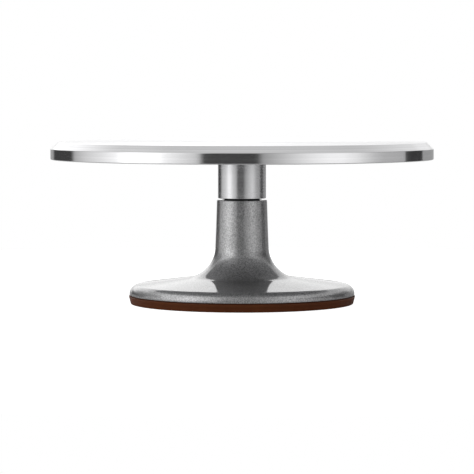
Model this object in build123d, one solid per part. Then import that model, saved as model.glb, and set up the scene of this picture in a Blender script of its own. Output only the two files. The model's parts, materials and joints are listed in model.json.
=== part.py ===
from build123d import *

import os
from math import cos, radians, sin

# Cake turntable: a bevelled aluminium plate that spins on a cast pedestal.
#
# Millimetres, +Z up. Z is the turning axis, and the origin is on the surface that the foot stands on.
# A spindle hangs from the plate through two ball bearings in the pedestal's neck. Each function below
# makes one kind of piece, and parts() lists every piece under its name.

# Overall shape
TOP_Z = 129.0
PLATE_R = 152.5
NECK_TOP_Z = 82.8
NECK_TOP_R = 20.0
FOOT_R = 90.1

# Plate
RIM_LOW_Z = 115.2
BEVEL = 5.4
WEB = 4.6
SKIRT = 8.0
BOSS_R = 36.0
BOSS_Z = 120.0
EDGE_ROUND = 0.7
RECESS_ROUND = 3.0
GUIDE_RADII = (50.8, 76.2, 101.6, 127.0)
GUIDE_WIDTH = 0.6
GUIDE_DEPTH = 0.25
CENTRE_MARK_R = 1.2
CENTRE_MARK_DEPTH = 0.7

# Collar and the screws that hold it and the spindle under the plate
COLLAR_R = 19.15
COLLAR_LOW_Z = 84.0
COLLAR_ROUND = 0.4
COLLAR_BORE_R = 10.05
COLLAR_FLANGE_R = 33.0
COLLAR_FLANGE = 3.6
SCREW_COUNT = 4
SCREW_CIRCLE_R = 26.5
SCREW_R = 2.45
SCREW_HOLE_R = 2.5
SCREW_HEAD_R = 4.6
SCREW_SINK_R = 4.7
SCREW_HEAD = 2.6
SCREW_TIP_Z = 126.0
SCREW_HOLE_END_Z = 126.6
SOCKET_ACROSS = 3.0
SOCKET_DEPTH = 1.8

# Spindle
SPINDLE_FLANGE = 4.0
SPINDLE_BODY_R = 10.0
SHOULDER_R = 8.4
SHOULDER_TOP_Z = 85.6
JOURNAL_R = 6.0
THREAD_R = 4.95
THREAD_DEPTH = 0.6
THREAD_PITCH = 1.5
THREAD_TOP_Z = 18.4
THREAD_RUNOUT = 1.0
SPINDLE_END_Z = 5.0
SLIP = 0.02

# Ball bearings, 12 x 32 x 10
BEARING_BORE_R = 6.02
BEARING_R = 15.99
BEARING_WIDTH = 10.0
UPPER_BEARING_Z = 74.4
LOWER_BEARING_Z = 23.0
PITCH_R = 11.0
BALL_R = 2.976
BALL_COUNT = 7
BALL_PLAY = 0.02
GROOVE_R = 3.07
INNER_SHOULDER_R = 9.0
OUTER_SHOULDER_R = 13.1
RACE_CHAMFER = 0.5
SEAL = 0.8
SEAL_INSET = 0.2
SEAL_SEAT_R = 13.7
SEAL_LIP_R = 9.2
CAGE_RADII = (9.9, 12.1)
CAGE_Z = (-3.5, 1.4)
POCKET_R = 3.05

# Pedestal casting
SEAT_R = 16.0
NECK_BORE_R = 13.2
NECK_WAIST = (20.7, 60.0)
NECK_FOOT = (22.2, 23.2)
CROWN_Z = 14.3
SKIRT_LOW_R = 89.9
SKIRT_LOW_Z = 7.0
SKIRT_IN_R = 86.0
WALL = 4.2
NECK_ROUND = 150.0
FLARE_ROUND = 25.5
CROWN_ROUND = 7.2
CASTING_BOSS_R = 22.0
CASTING_BOSS_Z = 15.5
CASTING_ROUND = 2.0
INNER_ROUND = 1.0
LIP_ROUND = 0.3
RIB_COUNT = 4
RIB = 3.0
RIB_LOW_Z = 9.5
RIB_ROOT = 1.0
RIB_SLOPE = 8.0
RIB_END_GAP = 0.3

# Foot ring
RING_LIP_R = 90.6
RING_LIP_Z = 6.2
RING_LOW_R = 88.9
RING_IN_R = 82.5
RING_ROUND = 0.4
SHADOW_GAP_R = 88.6
UPSTAND_R = 85.9
UPSTAND_Z = 10.2
TREAD_RADII = (84.6, 86.6)
TREAD_WIDTH = 1.0
TREAD_DEPTH = 0.8

# Small parts on the spindle and in the neck
DUST_RING_R = 14.2
DUST_RING_Z = (81.4, 83.9)
DUST_GRIP_R = 11.0
DUST_LIP = 1.4
DUST_ROUND = 0.3
CLIP_Z = 79.5
CLIP = 1.2
CLIP_R = 16.75
CLIP_GROOVE_R = 16.85
CLIP_GROOVE_Z = (79.4, 80.8)
CLIP_BAND = 2.4
CLIP_GAP_DEG = 34.0
CLIP_EYE_DEG = 21.1
CLIP_LUG_R = 2.2
CLIP_LUG_INSET = 1.4
CLIP_EYE_R = 0.8
SPACER_R = 8.4
WASHER_R = 10.0
WASHER_BORE_R = 5.2
WASHER = 1.6
NUT_ACROSS = 17.0
NUT_HEX = 7.0
NUT_NECK = 2.8
NUT_NECK_R = 7.4
NUT_BORE_R = 5.0
NUT_CORNER = (1.2, 0.6)
NUT_LIP = 0.6
INSERT_R = 6.3


def lathe(*corners):
    """A solid of revolution about Z. Each corner is (radius, height) or (radius, height, rounding)."""
    points = [corner[:2] for corner in corners]
    rounds = [corner[2] if len(corner) == 3 else 0 for corner in corners]
    outline = Plane.XZ * FilletPolyline(*points, radius=rounds, close=True)
    return revolve(make_face(outline), Axis.Z, 360)


def ring(inner_r, outer_r, low_z, high_z):
    """A plain round ring, or a disc where inner_r is 0."""
    return lathe((inner_r, low_z), (outer_r, low_z), (outer_r, high_z), (inner_r, high_z))


def around(count, radius, start_deg=0.0):
    """Places evenly spaced round Z, each turned to face outwards."""
    step = 360 / count
    return [Rot(Z=start_deg + i * step) * Pos(X=radius) for i in range(count)]


# Plate and what turns with it


def plate():
    web_z = TOP_Z - WEB
    body = lathe(
        (0, BOSS_Z),
        (BOSS_R, BOSS_Z, EDGE_ROUND),
        (BOSS_R, web_z, RECESS_ROUND),
        (PLATE_R - SKIRT, web_z, RECESS_ROUND),
        (PLATE_R - SKIRT, RIM_LOW_Z, EDGE_ROUND),
        (PLATE_R, RIM_LOW_Z, EDGE_ROUND),
        (PLATE_R, TOP_Z - BEVEL, EDGE_ROUND),
        (PLATE_R - BEVEL, TOP_Z, EDGE_ROUND),
        (0, TOP_Z),
    )
    for radius in GUIDE_RADII:
        body -= guide_groove(radius)
    body -= lathe((0, TOP_Z - CENTRE_MARK_DEPTH), (CENTRE_MARK_R, TOP_Z), (0, TOP_Z))
    hole = Pos(Z=BOSS_Z) * extrude(Circle(SCREW_HOLE_R), SCREW_HOLE_END_Z - BOSS_Z)
    for place in around(SCREW_COUNT, SCREW_CIRCLE_R):
        body -= place * hole
    return body


def guide_groove(radius):
    """A scribed V line on the plate's top."""
    half = GUIDE_WIDTH / 2
    return lathe((radius - half, TOP_Z), (radius, TOP_Z - GUIDE_DEPTH), (radius + half, TOP_Z))


def collar():
    flange_top = BOSS_Z - SPINDLE_FLANGE
    flange_low = flange_top - COLLAR_FLANGE
    body = lathe(
        (COLLAR_BORE_R, COLLAR_LOW_Z),
        (COLLAR_R, COLLAR_LOW_Z, COLLAR_ROUND),
        (COLLAR_R, flange_low, COLLAR_ROUND),
        (COLLAR_FLANGE_R, flange_low, EDGE_ROUND),
        (COLLAR_FLANGE_R, flange_top),
        (COLLAR_BORE_R, flange_top),
    )
    hole = screw_body(flange_low, flange_top, SCREW_HOLE_R, SCREW_SINK_R)
    for place in around(SCREW_COUNT, SCREW_CIRCLE_R):
        body -= place * hole
    return body


def screw_body(low_z, high_z, shank_r, head_r):
    """A countersunk head that tapers from low_z up into its shank."""
    return lathe(
        (0, low_z),
        (head_r, low_z),
        (shank_r, low_z + SCREW_HEAD),
        (shank_r, high_z),
        (0, high_z),
    )


def collar_screws():
    low_z = BOSS_Z - SPINDLE_FLANGE - COLLAR_FLANGE
    screw = screw_body(low_z, SCREW_TIP_Z, SCREW_R, SCREW_HEAD_R)
    socket = extrude(RegularPolygon(SOCKET_ACROSS / 2, 6, major_radius=False), SOCKET_DEPTH)
    screw -= Pos(Z=low_z) * socket
    return Compound([place * screw for place in around(SCREW_COUNT, SCREW_CIRCLE_R)])


def spindle():
    flange_low = BOSS_Z - SPINDLE_FLANGE
    bearing_top = UPPER_BEARING_Z + BEARING_WIDTH / 2
    thread = []
    z = SPINDLE_END_Z + THREAD_PITCH
    while z + THREAD_PITCH < THREAD_TOP_Z - THREAD_RUNOUT:
        thread += [(THREAD_R, z), (THREAD_R - THREAD_DEPTH, z + THREAD_PITCH / 2)]
        z += THREAD_PITCH
    body = lathe(
        (0, SPINDLE_END_Z),
        (THREAD_R - THREAD_DEPTH, SPINDLE_END_Z),
        *thread,
        (THREAD_R, z),
        (THREAD_R, THREAD_TOP_Z),
        (JOURNAL_R, THREAD_TOP_Z),
        (JOURNAL_R, bearing_top),
        (SHOULDER_R, bearing_top),
        (SHOULDER_R, SHOULDER_TOP_Z),
        (SPINDLE_BODY_R, SHOULDER_TOP_Z),
        (SPINDLE_BODY_R, flange_low),
        (COLLAR_FLANGE_R, flange_low),
        (COLLAR_FLANGE_R, BOSS_Z),
        (0, BOSS_Z),
    )
    hole = Pos(Z=flange_low) * extrude(Circle(SCREW_HOLE_R), SPINDLE_FLANGE)
    for place in around(SCREW_COUNT, SCREW_CIRCLE_R):
        body -= place * hole
    return body


def dust_ring():
    """A rubber ring with a thin lip, gripping the spindle in the mouth of the neck."""
    low_z, high_z = DUST_RING_Z
    return lathe(
        (SHOULDER_R + SLIP, low_z),
        (DUST_GRIP_R, low_z, DUST_ROUND),
        (DUST_GRIP_R, high_z - DUST_LIP, DUST_ROUND),
        (DUST_RING_R, high_z - DUST_LIP, DUST_ROUND),
        (DUST_RING_R, high_z, DUST_ROUND),
        (SHOULDER_R + SLIP, high_z),
    )


def bearing_spacer():
    low_z = LOWER_BEARING_Z + BEARING_WIDTH / 2
    high_z = UPPER_BEARING_Z - BEARING_WIDTH / 2
    return ring(BEARING_BORE_R, SPACER_R, low_z, high_z)


def spindle_washer():
    high_z = LOWER_BEARING_Z - BEARING_WIDTH / 2
    return ring(WASHER_BORE_R, WASHER_R, high_z - WASHER, high_z)


def nut_top_z():
    return LOWER_BEARING_Z - BEARING_WIDTH / 2 - WASHER


def lock_nut():
    """A hexagon with a thin round neck below it, which holds the nylon insert."""
    top_z = nut_top_z()
    hex_low = top_z - NUT_HEX
    low_z = hex_low - NUT_NECK
    corner_r = NUT_ACROSS / 2 / cos(radians(30))
    corner_in, corner_down = NUT_CORNER
    hexagon = Pos(Z=hex_low) * extrude(RegularPolygon(NUT_ACROSS / 2, 6, major_radius=False), NUT_HEX)
    rounding = lathe(
        (0, low_z),
        (NUT_NECK_R, low_z),
        (NUT_NECK_R, hex_low),
        (corner_r - corner_in, hex_low),
        (corner_r, hex_low + corner_down),
        (corner_r, top_z - corner_down),
        (corner_r - corner_in, top_z),
        (0, top_z),
    )
    neck = ring(0, NUT_NECK_R, low_z, hex_low)
    bore = ring(0, NUT_BORE_R, low_z, top_z)
    pocket = ring(0, INSERT_R, low_z + NUT_LIP, hex_low)
    return (hexagon + neck) & rounding - bore - pocket


def nut_insert():
    hex_low = nut_top_z() - NUT_HEX
    low_z = hex_low - NUT_NECK + NUT_LIP
    return ring(THREAD_R + SLIP, INSERT_R - SLIP, low_z, hex_low - SLIP)


# Bearings


def inner_race(centre_z):
    half = BEARING_WIDTH / 2
    body = lathe(
        (BEARING_BORE_R, -half),
        (INNER_SHOULDER_R - RACE_CHAMFER, -half),
        (INNER_SHOULDER_R, RACE_CHAMFER - half),
        (INNER_SHOULDER_R, half - RACE_CHAMFER),
        (INNER_SHOULDER_R - RACE_CHAMFER, half),
        (BEARING_BORE_R, half),
    )
    groove_centre = PITCH_R - BALL_R - BALL_PLAY + GROOVE_R
    return Pos(Z=centre_z) * (body - Torus(groove_centre, GROOVE_R))


def outer_race(centre_z):
    half = BEARING_WIDTH / 2
    seat = half - SEAL - SEAL_INSET
    body = lathe(
        (BEARING_R - RACE_CHAMFER, -half),
        (BEARING_R, RACE_CHAMFER - half),
        (BEARING_R, half - RACE_CHAMFER),
        (BEARING_R - RACE_CHAMFER, half),
        (SEAL_SEAT_R, half),
        (SEAL_SEAT_R, seat),
        (OUTER_SHOULDER_R, seat),
        (OUTER_SHOULDER_R, -seat),
        (SEAL_SEAT_R, -seat),
        (SEAL_SEAT_R, -half),
    )
    groove_centre = PITCH_R + BALL_R + BALL_PLAY - GROOVE_R
    return Pos(Z=centre_z) * (body - Torus(groove_centre, GROOVE_R))


def ball_places():
    return around(BALL_COUNT, PITCH_R, 180 / BALL_COUNT)


def balls(centre_z):
    return Compound([Pos(Z=centre_z) * place * Sphere(BALL_R) for place in ball_places()])


def cage(centre_z):
    """A crown: a ring with round pockets that open upwards and just close over the balls."""
    body = ring(*CAGE_RADII, *CAGE_Z)
    for place in ball_places():
        body -= place * Sphere(POCKET_R)
    return Pos(Z=centre_z) * body


def seals(centre_z):
    low_z = BEARING_WIDTH / 2 - SEAL - SEAL_INSET
    seal = ring(SEAL_LIP_R, SEAL_SEAT_R - SLIP, low_z, low_z + SEAL)
    return Compound([Pos(Z=centre_z) * seal, Pos(Z=centre_z) * mirror(seal, about=Plane.XY)])


def bearing_clip():
    """An internal retaining ring, open at +X, with an eye for pliers in each end."""
    inner_r = CLIP_R - CLIP_BAND
    lug_r = CLIP_R - CLIP_LUG_INSET - CLIP_LUG_R
    band = Circle(CLIP_R) - Circle(inner_r)
    half_gap = radians(CLIP_GAP_DEG / 2)
    reach = CLIP_R * 2
    band -= make_face(
        Polyline(
            (0, 0),
            (reach * cos(half_gap), -reach * sin(half_gap)),
            (reach * cos(half_gap), reach * sin(half_gap)),
            close=True,
        )
    )
    for side in (-1, 1):
        eye = Rot(Z=side * CLIP_EYE_DEG) * Pos(X=lug_r)
        band = band + eye * Circle(CLIP_LUG_R) - eye * Circle(CLIP_EYE_R)
    return Pos(Z=CLIP_Z) * extrude(band, CLIP)


# Pedestal


def dish_z(radius):
    """Height of the pedestal's upper side where it is a plain cone."""
    inner_r, inner_z = NECK_FOOT
    slope = (CROWN_Z - inner_z) / (FOOT_R - inner_r)
    return inner_z + slope * (radius - inner_r)


def pedestal():
    upper_seat = UPPER_BEARING_Z - BEARING_WIDTH / 2
    lower_seat = LOWER_BEARING_Z + BEARING_WIDTH / 2
    body = lathe(
        (NECK_BORE_R, lower_seat),
        (NECK_BORE_R, upper_seat),
        (SEAT_R, upper_seat),
        (SEAT_R, NECK_TOP_Z),
        (NECK_TOP_R, NECK_TOP_Z, EDGE_ROUND),
        (*NECK_WAIST, NECK_ROUND),
        (*NECK_FOOT, FLARE_ROUND),
        (FOOT_R, CROWN_Z, CROWN_ROUND),
        (SKIRT_LOW_R, SKIRT_LOW_Z, LIP_ROUND),
        (SKIRT_IN_R, SKIRT_LOW_Z),
        (SKIRT_IN_R, dish_z(SKIRT_IN_R) - WALL, INNER_ROUND),
        (CASTING_BOSS_R, dish_z(CASTING_BOSS_R) - WALL, CASTING_ROUND),
        (CASTING_BOSS_R, CASTING_BOSS_Z, EDGE_ROUND),
        (SEAT_R, CASTING_BOSS_Z),
        (SEAT_R, lower_seat),
    )
    body -= ring(NECK_BORE_R, CLIP_GROOVE_R, *CLIP_GROOVE_Z)
    return body + pedestal_ribs()


def pedestal_ribs():
    """Webs under the dish, rooted in the bearing boss and ending just inside the foot ring."""
    inner_r = CASTING_BOSS_R - RIB_ROOT
    outer_r = RING_IN_R - RIB_END_GAP
    outline = Plane.XZ * Polyline(
        (inner_r, CASTING_BOSS_Z + RIB_ROOT),
        (inner_r + RIB_SLOPE, RIB_LOW_Z),
        (outer_r, RIB_LOW_Z),
        (outer_r, dish_z(outer_r) - WALL / 2),
        (inner_r, dish_z(inner_r) - WALL / 2),
        close=True,
    )
    rib = extrude(make_face(outline), RIB / 2, both=True)
    step = 360 / RIB_COUNT
    return [Rot(Z=step * (i + 0.5)) * rib for i in range(RIB_COUNT)]


def foot_ring():
    """Rubber tread under the skirt: a gap all round below it, an upstand inside, grooves in the sole."""
    body = lathe(
        (RING_IN_R, 0, RING_ROUND),
        (RING_LOW_R, 0, RING_ROUND),
        (RING_LIP_R, RING_LIP_Z, RING_ROUND),
        (SHADOW_GAP_R, RING_LIP_Z),
        (SHADOW_GAP_R, SKIRT_LOW_Z),
        (UPSTAND_R, SKIRT_LOW_Z),
        (UPSTAND_R, UPSTAND_Z, RING_ROUND),
        (RING_IN_R, UPSTAND_Z, RING_ROUND),
    )
    for radius in TREAD_RADII:
        half = TREAD_WIDTH / 2
        body -= ring(radius - half, radius + half, 0, TREAD_DEPTH)
    return body


def parts():
    """Every piece by its name."""
    made = {
        "plate": plate(),
        "hub_collar": collar(),
        "collar_screws": collar_screws(),
        "spindle": spindle(),
        "dust_ring": dust_ring(),
        "bearing_spacer": bearing_spacer(),
        "spindle_washer": spindle_washer(),
        "lock_nut": lock_nut(),
        "lock_nut_insert": nut_insert(),
        "bearing_clip": bearing_clip(),
        "pedestal": pedestal(),
        "foot_ring": foot_ring(),
    }
    for name, centre_z in (("upper", UPPER_BEARING_Z), ("lower", LOWER_BEARING_Z)):
        made[f"{name}_bearing_inner_race"] = inner_race(centre_z)
        made[f"{name}_bearing_outer_race"] = outer_race(centre_z)
        made[f"{name}_bearing_balls"] = balls(centre_z)
        made[f"{name}_bearing_cage"] = cage(centre_z)
        made[f"{name}_bearing_seals"] = seals(centre_z)
    return made


os.makedirs("parts", exist_ok=True)
for name, shape in parts().items():
    export_step(shape, f"parts/{name}.step")
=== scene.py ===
import json
import math

import bmesh
import bpy
from mathutils import Matrix, Vector


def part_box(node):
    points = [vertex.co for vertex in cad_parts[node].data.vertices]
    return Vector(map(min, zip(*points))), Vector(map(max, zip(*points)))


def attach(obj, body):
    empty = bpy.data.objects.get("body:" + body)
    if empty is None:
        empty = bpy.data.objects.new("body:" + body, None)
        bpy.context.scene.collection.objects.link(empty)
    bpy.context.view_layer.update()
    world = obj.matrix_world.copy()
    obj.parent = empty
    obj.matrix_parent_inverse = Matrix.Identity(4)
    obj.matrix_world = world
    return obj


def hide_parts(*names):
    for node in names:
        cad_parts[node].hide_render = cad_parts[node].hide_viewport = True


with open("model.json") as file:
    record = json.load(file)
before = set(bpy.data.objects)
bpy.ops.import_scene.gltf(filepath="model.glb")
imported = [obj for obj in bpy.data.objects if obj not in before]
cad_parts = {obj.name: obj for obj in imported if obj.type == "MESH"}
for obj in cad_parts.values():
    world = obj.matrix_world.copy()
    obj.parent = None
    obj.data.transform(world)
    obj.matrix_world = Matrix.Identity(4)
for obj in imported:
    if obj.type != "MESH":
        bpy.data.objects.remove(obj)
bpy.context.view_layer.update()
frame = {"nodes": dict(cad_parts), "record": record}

# A cake turntable in a white studio. Metres, in the CAD's frame: Z is the turning axis and the foot
# stands at z = 0. The pieces that show are turned again here as fine meshes, on the CAD's own
# outlines, and every piece has a procedural material.

# Plate
BEVEL = 0.0054
WEB = 0.0046
SKIRT = 0.0080
BOSS_R = 0.0360
BOSS_DROP = 0.0090
RECESS_ROUND = 0.0030
EDGE_ROUND = 0.0007
GUIDE_RADII = (0.0508, 0.0762, 0.1016, 0.1270)
GUIDE_WIDTH = 0.0006
GUIDE_DEPTH = 0.00025
CENTRE_MARK_R = 0.0012
CENTRE_MARK_DEPTH = 0.0007

# Collar
COLLAR_R = 0.01915
COLLAR_BORE_R = 0.01005
COLLAR_FLANGE = 0.0036
COLLAR_ROUND = 0.0004

# Screws through the collar into the plate
SCREW_COUNT = 4
SCREW_CIRCLE_R = 0.0265
SCREW_HOLE_R = 0.0025
SCREW_SINK_R = 0.0047
SCREW_SINK = 0.0026
SCREW_HOLE_DEPTH = 0.0066

# Pedestal
NECK_TOP_R = 0.0200
NECK_WAIST = (0.0207, 0.0600, 0.150)
NECK_FOOT = (0.0222, 0.0232)
FLARE_ROUND = 0.0255
CROWN = (0.0901, 0.0143, 0.0072)
SKIRT_LOW_R = 0.0899
SKIRT_IN_R = 0.0860
LIP_ROUND = 0.0003
DISH_WALL = 0.0042
NECK_BORE_R = 0.0132
SEAT_R = 0.0160
UPPER_SEAT_Z = 0.0694
LOWER_SEAT_Z = 0.0280
CASTING_BOSS = (0.0220, 0.0155)
CASTING_ROUND = 0.0020
INNER_ROUND = 0.0010
CLIP_GROOVE = (0.01685, 0.0794, 0.0014)
RIB_COUNT = 4
RIB = 0.0030
RIB_LOW_Z = 0.0095
RIB_ROUND = 0.0010
RIB_ROOT = 0.0010
RIB_SLOPE = 0.0080
RIB_END_GAP = 0.0003

# Foot ring
RING_IN_R = 0.0825
RING_LOW_R = 0.0889
RING_LIP = (0.0906, 0.0062)
RING_ROUND = 0.0004
SHADOW_GAP_R = 0.0886
UPSTAND_R = 0.0859
TREAD_RADII = (0.0846, 0.0866)
TREAD_WIDTH = 0.0010
TREAD_DEPTH = 0.0008

# Dust ring
DUST_BORE_R = 0.00842
DUST_GRIP_R = 0.0110
DUST_R = 0.0142
DUST_LIP = 0.0014
DUST_ROUND = 0.0003

# Making the meshes: their fineness, the least angle of an edge that stays sharp, what counts as on the
# axis, and how far a cutter goes past the face that it opens
SEGMENTS = 256
HOLE_SEGMENTS = 48
ARC_STEP = math.radians(7)
SHARP = math.radians(32)
ON_AXIS = 1e-9
CUT_PAST = 0.001

# Camera
LENS_MM = 190.3
SENSOR_MM = 36
CLIP_END = 20
CAMERA_AT = Vector((-0.004, -2.000, 0.170))
CAMERA_DOWN = math.radians(3.35)

# Floor
FLOOR_R = 0.70
FLOOR_SEGMENTS = 128
FLOOR_SHADE = 0.62
FLOOR_GLOW = 0.96

# A net and a black flag stand in front of the right-hand lamp, on one line across the floor. The stops
# are (y, share of the light let through).
NET_ENDS = (Vector((0.362, -0.290)), Vector((0.439, 0.254)))
NET_TOP = 0.180
NET_SHADE = 0.04
NET = (
    (-0.290, 1.00), (-0.225, 0.86), (-0.184, 0.70), (-0.140, 0.55), (-0.097, 0.46), (0.034, 0.42),
    (0.036, 0.06), (0.254, 0.06),
)

# The studio's brightness all round, band over band from the floor up. Each band fades in between two
# elevations and goes through stops of (azimuth, brightness). Azimuth 0 is the camera's side and +90
# the right. All in degrees.
BELOW = 0.42
LAMPS = (
    (-118, 0.46), (-106, 0.68), (-91, 0.86), (-80, 1.05), (-70, 1.55), (-62, 1.65), (-54, 1.45),
    (-46, 1.00), (-36, 0.80), (-28, 0.66), (-25, 0.50), (-23, 0.045), (9, 0.045), (12, 0.34),
    (22, 0.53), (32, 0.72), (42, 0.89), (52, 1.00), (112, 1.00),
)
STUDIO_BANDS = (
    (-16.0, -12.0, (
        (-180, 0.48), (-156, 0.38), (-152, 0.06), (-122, 0.05), *LAMPS, (120, 0.34), (156, 0.38),
        (180, 0.48),
    )),
    (-0.6, 0.4, (
        (-180, 1.10), (-162, 1.05), (-156, 0.38), (-152, 0.06), (-122, 0.05), *LAMPS, (120, 0.34),
        (142, 0.36), (158, 0.55), (166, 0.85), (173, 1.05), (180, 1.10),
    )),
    (7.0, 11.0, (
        (-180, 1.55), (-174, 1.65), (-156, 1.60), (-148, 0.90), (-138, 0.26), (-112, 0.22),
        (-96, 0.45), (-76, 1.10), (-64, 1.60), (-46, 1.50), (-32, 0.80), (-20, 0.30), (8, 0.26),
        (24, 0.40), (40, 0.62), (56, 0.50), (76, 0.26), (98, 0.18), (136, 0.18), (144, 0.36),
        (151, 0.98), (164, 1.05), (172, 1.25), (180, 1.55),
    )),
    (20.0, 27.0, (
        (-180, 1.55), (-174, 1.60), (-150, 1.30), (-126, 0.64), (-104, 0.75), (-84, 1.20),
        (-50, 1.20), (-26, 0.60), (-20, 0.24), (8, 0.20), (26, 0.45), (56, 0.80), (80, 0.76),
        (100, 0.55), (124, 0.58), (150, 0.88), (162, 0.90), (172, 1.25), (180, 1.55),
    )),
    (54.0, 66.0, ((0, 0.60),)),
)


# Meshes


def unit(vector):
    return vector / vector.length


def rounded(corners, closed):
    """The points of an outline of (radius, height) or (radius, height, rounding) corners."""
    points = []
    count = len(corners)
    for i, corner in enumerate(corners):
        here = Vector(corner[:2])
        inside = closed or 0 < i < count - 1
        if len(corner) < 3 or not corner[2] or not inside:
            points.append(here)
            continue
        before = unit(Vector(corners[i - 1][:2]) - here)
        after = unit(Vector(corners[(i + 1) % count][:2]) - here)
        half = before.angle(after) / 2
        centre = here + unit(before + after) * corner[2] / math.sin(half)
        start = here + before * corner[2] / math.tan(half) - centre
        sweep = math.pi - 2 * half
        turn = math.copysign(sweep, -before.cross(after))
        steps = max(3, math.ceil(sweep / ARC_STEP))
        for k in range(steps + 1):
            points.append(centre + Matrix.Rotation(turn * k / steps, 2) @ start)
    return points


def lathe(name, corners, closed=True, segments=SEGMENTS):
    """A turned piece about Z. An outline that isn't closed starts and ends on the axis."""
    turns = [math.tau * k / segments for k in range(segments)]
    mesh = bmesh.new()
    rings = []
    for radius, z in rounded(corners, closed):
        if radius < ON_AXIS:
            rings.append([mesh.verts.new((0, 0, z))] * segments)
        else:
            places = [(radius * math.cos(a), radius * math.sin(a), z) for a in turns]
            rings.append([mesh.verts.new(place) for place in places])
    pairs = list(zip(rings, rings[1:] + rings[:1]))
    for low, high in pairs if closed else pairs[:-1]:
        for k in range(segments):
            following = (k + 1) % segments
            face = [low[k], low[following], high[following], high[k]]
            mesh.faces.new(list(dict.fromkeys(face)))
    bmesh.ops.recalc_face_normals(mesh, faces=mesh.faces)
    return piece(name, mesh)


def piece(name, mesh):
    """An object in the scene from a bmesh, which it uses up."""
    data = bpy.data.meshes.new(name)
    mesh.to_mesh(data)
    mesh.free()
    made = bpy.data.objects.new(name, data)
    bpy.context.scene.collection.objects.link(made)
    return made


def smooth(made):
    """Shades a piece smooth between its sharp edges, with flats kept flat beside small roundings."""
    made.data.shade_smooth()
    made.data.set_sharp_from_angle(angle=SHARP)
    weighted = made.modifiers.new("weighted_normals", "WEIGHTED_NORMAL")
    weighted.keep_sharp = True
    return made


def combine(made, others, operation):
    """Cuts the other pieces out of a piece (DIFFERENCE), or joins them to it (UNION)."""
    for other in others:
        step = made.modifiers.new(operation, "BOOLEAN")
        step.operation = operation
        step.solver = "EXACT"
        step.object = other
    bpy.context.view_layer.update()
    settled = bpy.data.meshes.new_from_object(made.evaluated_get(bpy.context.evaluated_depsgraph_get()))
    made.modifiers.clear()
    made.data = settled
    for other in others:
        bpy.data.objects.remove(other)
    return made


def around(count, radius, start=0.0):
    """Evenly spaced places round Z."""
    turns = [start + math.tau * k / count for k in range(count)]
    return [Matrix.Rotation(a, 4, "Z") @ Matrix.Translation((radius, 0, 0)) for a in turns]


def screw_holes(low_z, high_z, countersunk):
    """Cutters for the screws' holes, from low_z up to high_z."""
    cutters = []
    for place in around(SCREW_COUNT, SCREW_CIRCLE_R):
        outline = [(0, low_z), (SCREW_HOLE_R, low_z), (SCREW_HOLE_R, high_z), (0, high_z)]
        if countersunk:
            outline[1:2] = [(SCREW_SINK_R, low_z), (SCREW_HOLE_R, low_z + SCREW_SINK)]
        cutter = lathe("cutter", outline, closed=False, segments=HOLE_SEGMENTS)
        cutter.data.transform(place)
        cutters.append(cutter)
    return cutters


# Pieces


def plate():
    low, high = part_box("plate")
    radius, top, rim_low = high.x, high.z, low.z
    web_z = top - WEB
    boss_z = top - BOSS_DROP
    outline = [
        (0, boss_z),
        (BOSS_R, boss_z, EDGE_ROUND),
        (BOSS_R, web_z, RECESS_ROUND),
        (radius - SKIRT, web_z, RECESS_ROUND),
        (radius - SKIRT, rim_low, EDGE_ROUND),
        (radius, rim_low, EDGE_ROUND),
        (radius, top - BEVEL, EDGE_ROUND),
        (radius - BEVEL, top, EDGE_ROUND),
    ]
    for guide in reversed(GUIDE_RADII):
        half = GUIDE_WIDTH / 2
        outline += [(guide + half, top), (guide, top - GUIDE_DEPTH), (guide - half, top)]
    outline += [(CENTRE_MARK_R, top), (0, top - CENTRE_MARK_DEPTH)]
    made = lathe("turned_plate", outline, closed=False)
    holes = screw_holes(boss_z - CUT_PAST, boss_z + SCREW_HOLE_DEPTH, countersunk=False)
    return combine(made, holes, "DIFFERENCE")


def collar():
    low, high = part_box("hub_collar")
    flange_low = high.z - COLLAR_FLANGE
    outline = [
        (COLLAR_BORE_R, low.z),
        (COLLAR_R, low.z, COLLAR_ROUND),
        (COLLAR_R, flange_low, COLLAR_ROUND),
        (high.x, flange_low, EDGE_ROUND),
        (high.x, high.z),
        (COLLAR_BORE_R, high.z),
    ]
    made = lathe("collar_sleeve", outline)
    holes = screw_holes(flange_low, high.z + CUT_PAST, countersunk=True)
    return combine(made, holes, "DIFFERENCE")


def dish_z(radius):
    """Height of the pedestal's upper side where it is a plain cone."""
    slope = (CROWN[1] - NECK_FOOT[1]) / (CROWN[0] - NECK_FOOT[0])
    return NECK_FOOT[1] + slope * (radius - NECK_FOOT[0])


def pedestal():
    low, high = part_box("pedestal")
    boss_r, boss_z = CASTING_BOSS
    groove_r, groove_z, groove = CLIP_GROOVE
    outline = [
        (NECK_BORE_R, LOWER_SEAT_Z),
        (NECK_BORE_R, UPPER_SEAT_Z),
        (SEAT_R, UPPER_SEAT_Z),
        (SEAT_R, groove_z),
        (groove_r, groove_z),
        (groove_r, groove_z + groove),
        (SEAT_R, groove_z + groove),
        (SEAT_R, high.z),
        (NECK_TOP_R, high.z, EDGE_ROUND),
        NECK_WAIST,
        (*NECK_FOOT, FLARE_ROUND),
        CROWN,
        (SKIRT_LOW_R, low.z, LIP_ROUND),
        (SKIRT_IN_R, low.z),
        (SKIRT_IN_R, dish_z(SKIRT_IN_R) - DISH_WALL, INNER_ROUND),
        (boss_r, dish_z(boss_r) - DISH_WALL, CASTING_ROUND),
        (boss_r, boss_z, EDGE_ROUND),
        (SEAT_R, boss_z),
        (SEAT_R, LOWER_SEAT_Z),
    ]
    made = lathe("pedestal_casting", outline)
    return combine(made, pedestal_ribs(), "UNION")


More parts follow.
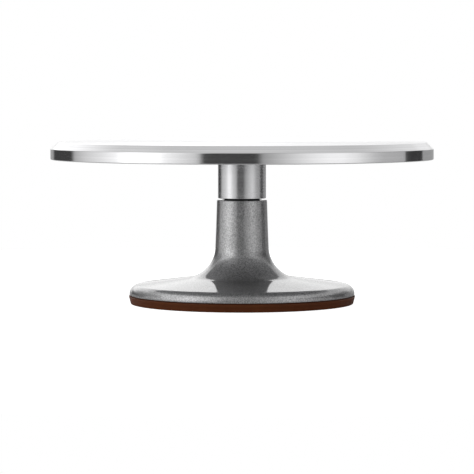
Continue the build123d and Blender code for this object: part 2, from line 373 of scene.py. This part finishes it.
def pedestal_ribs():
    """Webs under the dish, rooted in the bearing boss and ending just inside the foot ring."""
    boss_r, boss_z = CASTING_BOSS
    inner_r = boss_r - RIB_ROOT
    outer_r = RING_IN_R - RIB_END_GAP
    side = [
        (inner_r, boss_z + RIB_ROOT),
        (inner_r + RIB_SLOPE, RIB_LOW_Z, RIB_ROUND),
        (outer_r, RIB_LOW_Z, RIB_ROUND),
        (outer_r, dish_z(outer_r) - DISH_WALL / 2),
        (inner_r, dish_z(inner_r) - DISH_WALL / 2),
    ]
    points = rounded(side, closed=True)
    ribs = []
    for place in around(RIB_COUNT, 0, math.pi / RIB_COUNT):
        mesh = bmesh.new()
        near, far = [[mesh.verts.new((r, y, z)) for r, z in points] for y in (-RIB / 2, RIB / 2)]
        mesh.faces.new(near)
        mesh.faces.new(reversed(far))
        for k in range(len(points)):
            mesh.faces.new((near[k], near[k - 1], far[k - 1], far[k]))
        bmesh.ops.recalc_face_normals(mesh, faces=mesh.faces)
        mesh.transform(place)
        ribs.append(piece("rib", mesh))
    return ribs


def foot_ring():
    low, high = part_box("foot_ring")
    skirt_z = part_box("pedestal")[0].z
    outline = [(RING_IN_R, low.z, RING_ROUND)]
    for radius in TREAD_RADII:
        half = TREAD_WIDTH / 2
        for side, z in ((-half, low.z), (-half, TREAD_DEPTH), (half, TREAD_DEPTH), (half, low.z)):
            outline.append((radius + side, z))
    outline += [
        (RING_LOW_R, low.z, RING_ROUND),
        (*RING_LIP, RING_ROUND),
        (SHADOW_GAP_R, RING_LIP[1]),
        (SHADOW_GAP_R, skirt_z),
        (UPSTAND_R, skirt_z),
        (UPSTAND_R, high.z, RING_ROUND),
        (RING_IN_R, high.z, RING_ROUND),
    ]
    return lathe("rubber_foot_ring", outline)


def dust_ring():
    low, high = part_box("dust_ring")
    outline = [
        (DUST_BORE_R, low.z),
        (DUST_GRIP_R, low.z, DUST_ROUND),
        (DUST_GRIP_R, high.z - DUST_LIP, DUST_ROUND),
        (DUST_R, high.z - DUST_LIP, DUST_ROUND),
        (DUST_R, high.z, DUST_ROUND),
        (DUST_BORE_R, high.z),
    ]
    return lathe("neck_dust_ring", outline)


# Materials


class Shader:
    """A node tree with short ways to add nodes. A socket given as a value is linked."""

    def __init__(self, tree):
        self.tree = tree
        self.tree.nodes.clear()

    def add(self, kind, values=None, output=0, **settings):
        made = self.tree.nodes.new(kind)
        for key, value in settings.items():
            setattr(made, key, value)
        for key, value in (values or {}).items():
            if isinstance(value, bpy.types.NodeSocket):
                self.tree.links.new(value, made.inputs[key])
            else:
                made.inputs[key].default_value = value
        return made.outputs[output] if made.outputs else None

    def math(self, operation, a, b=0.0, c=0.0):
        return self.add("ShaderNodeMath", {0: a, 1: b, 2: c}, operation=operation)

    def noise(self, vector, size, detail=2.0, rough=0.5):
        """Noise whose features are about size metres across."""
        values = {"Vector": vector, "Scale": 1 / size, "Detail": detail, "Roughness": rough}
        return self.add("ShaderNodeTexNoise", values)

    def spread(self, value, low, high, from_low=0.3, from_high=0.7):
        """Maps a texture's middle range to low..high."""
        limits = {"Value": value, 1: from_low, 2: from_high, 3: low, 4: high}
        return self.add("ShaderNodeMapRange", limits)

    def blend(self, factor, first, second):
        """A colour between two."""
        first, second = [c if isinstance(c, bpy.types.NodeSocket) else (*c, 1) for c in (first, second)]
        return self.add("ShaderNodeMix", {0: factor, 6: first, 7: second}, output=2, data_type="RGBA")

    def bump(self, height, depth, normal=None):
        values = {"Height": height, "Distance": depth, "Strength": 1.0}
        if normal:
            values["Normal"] = normal
        return self.add("ShaderNodeBump", values)

    def split(self, vector):
        """The x, y and z of a vector."""
        made = self.tree.nodes.new("ShaderNodeSeparateXYZ")
        self.tree.links.new(vector, made.inputs[0])
        return made.outputs

    def place(self):
        """The point on the object. Every object's origin is the frame's own."""
        return self.add("ShaderNodeTexCoord", output=3)

    def profile(self):
        """(radius, 0, height): what is the same all round the turning axis."""
        x, y, z = self.split(self.place())
        radius = self.math("SQRT", self.math("MULTIPLY_ADD", x, x, self.math("MULTIPLY", y, y)))
        return self.add("ShaderNodeCombineXYZ", {0: radius, 2: z})


def blank(name):
    """A new material and the shader of its empty node tree."""
    made = bpy.data.materials.new(name)
    made.use_nodes = True
    return made, Shader(made.node_tree)


def material(name, paint):
    """A material whose surface paint(shader) describes, as values for a Principled shader."""
    made, shader = blank(name)
    surface = shader.add("ShaderNodeBsdfPrincipled", paint(shader))
    shader.add("ShaderNodeOutputMaterial", {"Surface": surface})
    return made


# How level a turned face is, as its normal's z: from a wall or bevel to a level face. Those that look
# straight down, under the plate, get a darker colour: painted shade.
LEVEL = (0.80, 0.97)
UNDERSIDE_PAINTED_SHADE = (0.50, 0.50, 0.51)


def turned_metal(colour, darker, rough_side, rough_flat, groove, anisotropy):
    """Lathe-turned bright metal: fine grooves all round, with bands where the tool's feed changed.

    rough_side is the roughness of the walls and bevels, and rough_flat that of the level faces. groove
    is the grooves' width.
    """

    def paint(shader):
        profile = shader.profile()
        grooves = shader.noise(profile, groove, 3, 0.7)
        bands = shader.noise(profile, 0.0025, 3, 0.6)
        smudges = shader.noise(shader.place(), 0.035, 4, 0.55)
        shade = shader.math("MULTIPLY_ADD", bands, 0.55, shader.math("MULTIPLY", grooves, 0.45))
        worn = shader.math("MULTIPLY_ADD", smudges, 0.35, shader.math("MULTIPLY", shade, 0.65))
        up = shader.split(shader.add("ShaderNodeNewGeometry", output=1))[2]
        wall, level = LEVEL
        rough = shader.spread(shader.math("ABSOLUTE", up), rough_side, rough_flat, wall, level)
        # Mask of the faces that look straight down, where shade is painted into the colour
        under = shader.spread(up, 1, 0, -level, -wall)
        bright = shader.blend(shader.spread(shade, 0, 1), darker, colour)
        around_z = shader.add("ShaderNodeTangent", direction_type="RADIAL", axis="Z")
        return {
            # The base colour goes dark on downward faces: painted shade under the plate
            "Base Color": shader.blend(under, bright, UNDERSIDE_PAINTED_SHADE),
            "Metallic": 1.0,
            "Specular Tint": (0.84, 0.84, 0.84, 1),
            "Roughness": shader.math("MULTIPLY", rough, shader.spread(worn, 0.80, 1.20)),
            "Anisotropic": anisotropy,
            "Anisotropic Rotation": 0.25,
            "Tangent": around_z,
            "Normal": shader.bump(grooves, 0.000002),
        }

    return paint


def metallic_coat(shader):
    """Silver-grey paint full of metal flakes, slightly hammered, under a clear gloss."""
    place = shader.place()
    flakes = shader.add("ShaderNodeTexVoronoi", {"Vector": place, "Scale": 1 / 0.0006}, output=1)
    glint = shader.add("ShaderNodeSeparateColor", {"Color": flakes})
    grain = shader.noise(place, 0.0009, 3, 0.6)
    cloud = shader.noise(place, 0.018, 3, 0.5)
    speckle = shader.math("MULTIPLY_ADD", glint, 0.55, shader.math("MULTIPLY", grain, 0.45))
    tone = shader.math("MULTIPLY_ADD", cloud, 0.25, shader.math("MULTIPLY", speckle, 0.75))
    hammer = shader.noise(place, 0.0022, 2, 0.5)
    darker, colour = (0.31, 0.31, 0.315), (0.68, 0.68, 0.685)
    return {
        "Base Color": shader.blend(shader.spread(tone, 0, 1), darker, colour),
        "Metallic": 0.85,
        "Specular Tint": (0.22, 0.22, 0.22, 1),
        "Roughness": shader.spread(grain, 0.33, 0.41),
        "Normal": shader.bump(speckle, 0.00004, shader.bump(hammer, 0.00002)),
        "Coat Weight": 1.0,
        "Coat Roughness": 0.04,
        "Coat IOR": 1.8,
    }


def moulded_rubber(colour, darker, roughness):
    """Satin rubber: mottled, with faint flow lines round the axis and a fine grain."""

    def paint(shader):
        place = shader.place()
        grain = shader.noise(place, 0.0006, 3, 0.6)
        mottle = shader.noise(place, 0.012, 4, 0.6)
        flow = shader.noise(shader.profile(), 0.0015, 2, 0.5)
        tone = shader.math("MULTIPLY_ADD", mottle, 0.6, shader.math("MULTIPLY", flow, 0.4))
        return {
            "Base Color": shader.blend(shader.spread(tone, 0, 1), darker, colour),
            "Roughness": shader.spread(grain, roughness - 0.07, roughness + 0.07),
            "Specular IOR Level": 0.15,
            "Normal": shader.bump(grain, 0.00003),
        }

    return paint


def plain_metal(colour, darker, roughness):
    """Ground or plated steel: fine tool marks round the axis, and a little staining."""

    def paint(shader):
        marks = shader.noise(shader.profile(), 0.0004, 3, 0.6)
        stain = shader.noise(shader.place(), 0.004, 3, 0.6)
        tone = shader.math("MULTIPLY_ADD", stain, 0.5, shader.math("MULTIPLY", marks, 0.5))
        return {
            "Base Color": shader.blend(shader.spread(tone, 0, 1), darker, colour),
            "Metallic": 1.0,
            "Roughness": shader.spread(tone, roughness * 0.75, roughness * 1.25),
            "Normal": shader.bump(marks, 0.000006),
        }

    return paint


def moulded_plastic(colour, darker):
    """Satin nylon: a little cloudy, with a fine grain."""

    def paint(shader):
        grain = shader.noise(shader.place(), 0.0005, 3, 0.6)
        cloud = shader.noise(shader.place(), 0.003, 2, 0.5)
        return {
            "Base Color": shader.blend(shader.spread(cloud, 0, 1), darker, colour),
            "Roughness": shader.spread(grain, 0.38, 0.52),
            "Normal": shader.bump(grain, 0.00001),
        }

    return paint


FINISHES = {
    "turned_aluminium": turned_metal(
        (0.96, 0.96, 0.97), (0.80, 0.80, 0.81),
        rough_side=0.13, rough_flat=0.25, groove=0.0005, anisotropy=0.8,
    ),
    "collar_aluminium": turned_metal(
        (0.81, 0.81, 0.82), (0.67, 0.67, 0.68),
        rough_side=0.26, rough_flat=0.25, groove=0.0004, anisotropy=0.4,
    ),
    "silver_grey_coat": metallic_coat,
    "brown_rubber": moulded_rubber((0.170, 0.050, 0.016), (0.122, 0.033, 0.010), 0.46),
    "ground_steel": plain_metal((0.62, 0.62, 0.63), (0.50, 0.50, 0.51), 0.24),
    "black_oxide_steel": plain_metal((0.060, 0.060, 0.064), (0.030, 0.030, 0.032), 0.42),
    "zinc_steel": plain_metal((0.70, 0.71, 0.74), (0.56, 0.57, 0.59), 0.28),
    "spacer_aluminium": plain_metal((0.80, 0.80, 0.81), (0.68, 0.68, 0.69), 0.30),
    "bearing_steel": plain_metal((0.70, 0.70, 0.71), (0.62, 0.62, 0.63), 0.10),
    "cage_nylon": moulded_plastic((0.62, 0.56, 0.40), (0.52, 0.46, 0.32)),
    "blue_nylon": moulded_plastic((0.020, 0.060, 0.320), (0.012, 0.040, 0.230)),
    "black_rubber": moulded_rubber((0.016, 0.016, 0.017), (0.008, 0.008, 0.009), 0.50),
    "seal_rubber": moulded_rubber((0.022, 0.022, 0.022), (0.012, 0.012, 0.012), 0.55),
}


# Studio


def studio_world():
    """A white studio: soft boxes left and right, a dark gap by the camera and a pale ceiling.

    The camera itself sees plain white behind the object.
    """
    world = bpy.data.worlds.new("studio")
    world.use_nodes = True
    bpy.context.scene.world = world
    shader = Shader(world.node_tree)
    x, y, z = shader.split(shader.add("ShaderNodeTexCoord"))
    azimuth = shader.math("DEGREES", shader.math("ARCTAN2", x, shader.math("MULTIPLY", y, -1)))
    elevation = shader.math("DEGREES", shader.math("ARCSINE", z))
    light = BELOW
    for from_low, from_high, stops in STUDIO_BANDS:
        share = shader.add("ShaderNodeMapRange", {"Value": elevation, 1: from_low, 2: from_high})
        light = mix_values(shader, share, light, ramp(shader, azimuth, stops))
    seen = shader.add("ShaderNodeLightPath")
    light = mix_values(shader, seen, light, 1.0)
    background = shader.add("ShaderNodeBackground", {"Color": light, "Strength": 1.0})
    shader.add("ShaderNodeOutputWorld", {"Surface": background})


def ramp(shader, value, stops):
    """Goes straight from stop to stop of (value, brightness). One stop is the same everywhere."""
    if len(stops) == 1:
        return stops[0][1]
    first, last = stops[0][0], stops[-1][0]
    share = shader.add("ShaderNodeMapRange", {"Value": value, 1: first, 2: last})
    curve = shader.tree.nodes.new("ShaderNodeFloatCurve")
    shader.tree.links.new(share, curve.inputs["Value"])
    line = curve.mapping.curves[0]
    top = max(bright for _, bright in stops)
    places = [((at - first) / (last - first), bright / top) for at, bright in stops]
    line.points[0].location = places[0]
    line.points[1].location = places[-1]
    for place in places[1:-1]:
        line.points.new(*place)
    for point in line.points:
        point.handle_type = "VECTOR"
    curve.mapping.update()
    return shader.math("MULTIPLY", curve.outputs[0], top)


def mix_values(shader, factor, first, second):
    return shader.add("ShaderNodeMix", {0: factor, 2: first, 3: second}, data_type="FLOAT")


def floor():
    """A pale round floor. The camera sees it glow a little, so that it runs into the white behind."""
    mesh = bmesh.new()
    bmesh.ops.create_circle(mesh, cap_ends=True, radius=FLOOR_R, segments=FLOOR_SEGMENTS)
    made = piece("floor", mesh)
    paper, shader = blank("floor_paper")
    matt = shader.add("ShaderNodeBsdfDiffuse", {"Color": (FLOOR_SHADE, FLOOR_SHADE, FLOOR_SHADE, 1)})
    seen = shader.add("ShaderNodeLightPath")
    glow = shader.add("ShaderNodeEmission", {"Strength": shader.math("MULTIPLY", seen, FLOOR_GLOW)})
    surface = shader.add("ShaderNodeAddShader", {0: matt, 1: glow})
    shader.add("ShaderNodeOutputMaterial", {"Surface": surface})
    made.data.materials.append(paper)


def net():
    """The net and flag, which only reflections see."""
    mesh = bmesh.new()
    low, high = [[mesh.verts.new((*end, z)) for end in NET_ENDS] for z in (0, NET_TOP)]
    mesh.faces.new((*low, *reversed(high)))
    made = piece("net", mesh)
    made.visible_camera = False
    cloth, shader = blank("net_cloth")
    through = ramp(shader, shader.split(shader.place())[1], NET)
    black = shader.add("ShaderNodeBsdfDiffuse", {"Color": (NET_SHADE, NET_SHADE, NET_SHADE, 1)})
    clear = shader.add("ShaderNodeBsdfTransparent")
    surface = shader.add("ShaderNodeMixShader", {0: through, 1: black, 2: clear})
    shader.add("ShaderNodeOutputMaterial", {"Surface": surface})
    made.data.materials.append(cloth)


def camera():
    data = bpy.data.cameras.new("camera")
    data.sensor_width = SENSOR_MM
    data.lens = LENS_MM
    data.clip_end = CLIP_END
    made = bpy.data.objects.new("camera", data)
    made.location = CAMERA_AT
    made.rotation_euler = (math.pi / 2 - CAMERA_DOWN, 0, 0)
    bpy.context.scene.collection.objects.link(made)
    bpy.context.scene.camera = made


# The object

REMADE = {
    "plate": (plate, "turntable"),
    "hub_collar": (collar, "turntable"),
    "dust_ring": (dust_ring, "turntable"),
    "pedestal": (pedestal, "base"),
    "foot_ring": (foot_ring, "base"),
}

materials = {slot: material(slot, paint) for slot, paint in FINISHES.items()}
slots = {part["node"]: part["material_slot"] for part in frame["record"]["subparts"]}
for node, shown in frame["nodes"].items():
    shown.material_slots[0].material = materials[slots[node]]

for node, (make, body) in REMADE.items():
    made = smooth(make())
    made.data.materials.clear()
    made.data.materials.append(materials[slots[node]])
    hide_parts(node)
    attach(made, body)

studio_world()
floor()
net()
camera()
bpy.context.scene.view_settings.view_transform = "Standard"
